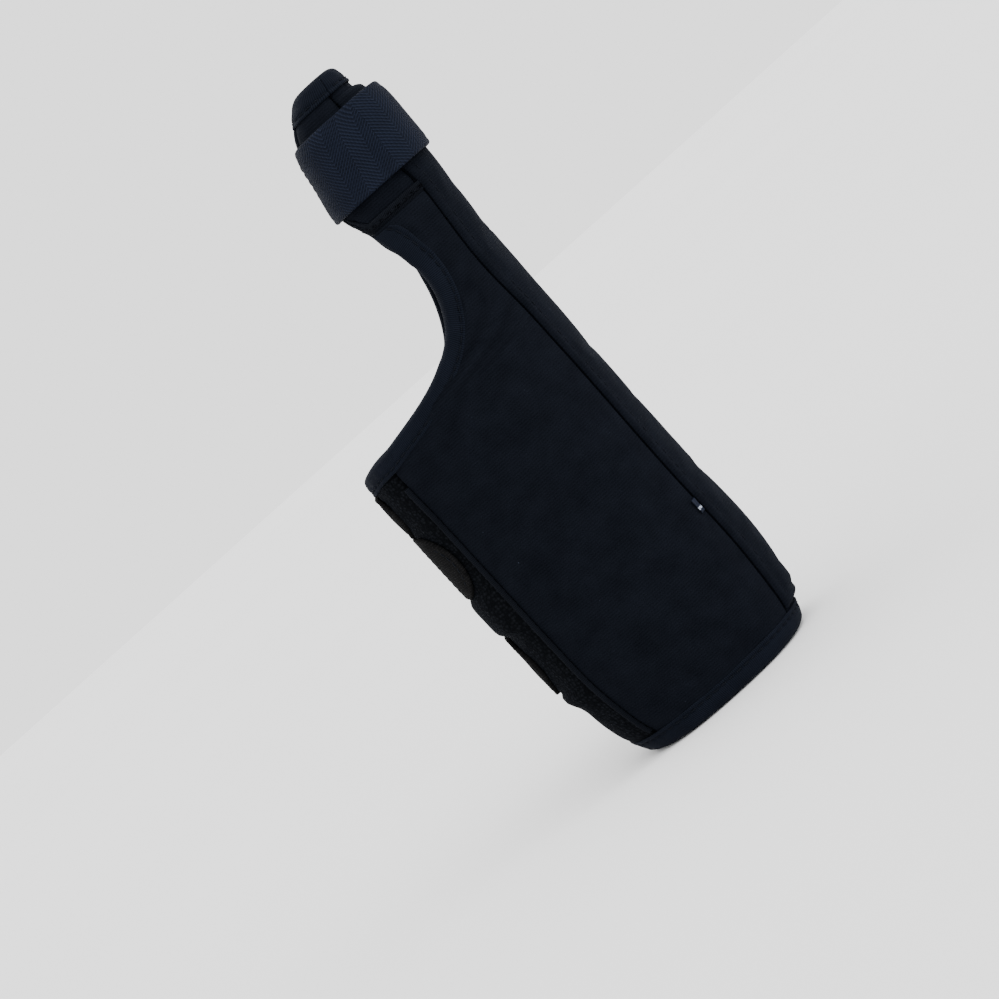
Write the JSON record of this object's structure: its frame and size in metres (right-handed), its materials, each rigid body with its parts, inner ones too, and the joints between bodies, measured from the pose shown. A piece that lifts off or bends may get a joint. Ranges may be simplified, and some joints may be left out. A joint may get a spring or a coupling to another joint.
{
  "type": "wrist and thumb splint",
  "caption": "Padded right-hand wrist and thumb splint: a bound fabric sleeve with a thumb tube, hook-and-loop straps, a thumb flap and metal stays.",
  "frame": {"origin": "centre of the forearm rim, on the surface it stands on", "axes": "+Z along the arm to the thumb tip, -Y to the palm side, +X to the thumb side"},
  "size_m": [0.0866, 0.0552, 0.2225],
  "materials": {
    "panel_cloth": "matt brushed knit face, near black",
    "loop_mesh": "open loop mesh, black",
    "lining": "brushed terry, dark grey",
    "binding": "soft folded tape, dark blue grey",
    "pocket_cloth": "plain tricot",
    "webbing": "loop faced webbing, black",
    "thumb_knit": "herringbone knit elastic with a soft sheen",
    "hook_tape": "moulded hook tape, warm grey",
    "label": "woven ribbon",
    "stay_metal": "plain rolled strip with rounded ends"
  },
  "bodies": {
    "root": {"volar_panel": "panel_cloth", "radial_panel": "panel_cloth", "radial_cover": "panel_cloth", "dorsal_panel": "panel_cloth", "ulnar_panel": "loop_mesh", "thumb_trough": "panel_cloth", "lining": "lining", "forearm_binding": "binding", "palm_binding": "binding", "dorsal_hand_binding": "binding", "closure_binding_dorsal": "binding", "closure_binding_ulnar": "binding", "thumb_tip_binding": "binding", "volar_stay_pocket": "pocket_cloth", "dorsal_stay": "stay_metal", "dorsal_stay_pocket": "pocket_cloth", "thumb_stay": "stay_metal", "ulnar_piping": "binding", "care_label": "label", "forearm_strap_anchor": "webbing", "middle_strap_anchor": "webbing", "wrist_strap_anchor": "webbing", "thumb_strap_anchor": "thumb_knit"},
    "forearm_span": {"forearm_strap": "webbing"},
    "forearm_tail": {"forearm_strap_end": "webbing", "forearm_hook_tab": "hook_tape"},
    "middle_span": {"middle_strap": "webbing"},
    "middle_tail": {"middle_strap_end": "webbing", "middle_hook_tab": "hook_tape"},
    "wrist_span": {"wrist_strap": "webbing"},
    "wrist_tail": {"wrist_strap_end": "webbing", "wrist_hook_tab": "hook_tape"},
    "thumb_span": {"thumb_strap": "thumb_knit"},
    "thumb_tail": {"thumb_strap_end": "thumb_knit", "thumb_hook_tab": "hook_tape"},
    "cuff_flap": {"thumb_cuff": "panel_cloth", "thumb_cuff_binding": "binding"},
    "stay": {"volar_stay": "stay_metal"}
  },
  "joints": [
    {"name": "forearm_strap_lift", "type": "hinge", "parent": "root", "child": "forearm_span", "pos_m": [0.017, 0.0235, 0.0445], "axis": [0, 0, -1], "range_deg": [0, 55]},
    {"name": "forearm_strap_peel", "type": "hinge", "parent": "forearm_span", "child": "forearm_tail", "pos_m": [-0.0398, 0.0117, 0.0445], "axis": [0, 0, -1], "range_deg": [0, 110]},
    {"name": "middle_strap_lift", "type": "hinge", "parent": "root", "child": "middle_span", "pos_m": [0.0164, 0.0246, 0.086], "axis": [0, 0, -1], "range_deg": [0, 55]},
    {"name": "middle_strap_peel", "type": "hinge", "parent": "middle_span", "child": "middle_tail", "pos_m": [-0.0403, 0.0124, 0.086], "axis": [0, 0, -1], "range_deg": [0, 110]},
    {"name": "wrist_strap_lift", "type": "hinge", "parent": "root", "child": "wrist_span", "pos_m": [0.0163, 0.0248, 0.1073], "axis": [0, 0, -1], "range_deg": [0, 55]},
    {"name": "wrist_strap_peel", "type": "hinge", "parent": "wrist_span", "child": "wrist_tail", "pos_m": [-0.0408, 0.0125, 0.1073], "axis": [0, 0, -1], "range_deg": [0, 110]},
    {"name": "thumb_strap_lift", "type": "hinge", "parent": "root", "child": "thumb_span", "pos_m": [0.04335, -0.00085, 0.198], "axis": [0, 0, 1], "range_deg": [0, 55]},
    {"name": "thumb_strap_peel", "type": "hinge", "parent": "thumb_span", "child": "thumb_tail", "pos_m": [0.0067, -0.0141, 0.198], "axis": [0, 0, 1], "range_deg": [0, 110]},
    {"name": "thumb_cuff_open", "type": "hinge", "parent": "root", "child": "cuff_flap", "pos_m": [0.0316, -0.0193, 0.198], "axis": [0, 0, 1], "range_deg": [0, 22]},
    {"name": "volar_stay_slide", "type": "slide", "parent": "root", "child": "stay", "axis": [0, 0, 1], "range_m": [0, 0.115]}
  ],
  "couplings": [
    {"joint": "forearm_strap_peel", "follows": "forearm_strap_lift", "ratio": 2},
    {"joint": "middle_strap_peel", "follows": "middle_strap_lift", "ratio": 2},
    {"joint": "wrist_strap_peel", "follows": "wrist_strap_lift", "ratio": 2},
    {"joint": "thumb_strap_peel", "follows": "thumb_strap_lift", "ratio": 2},
    {"joint": "thumb_cuff_open", "follows": "thumb_strap_lift", "ratio": 0.4}
  ]
}
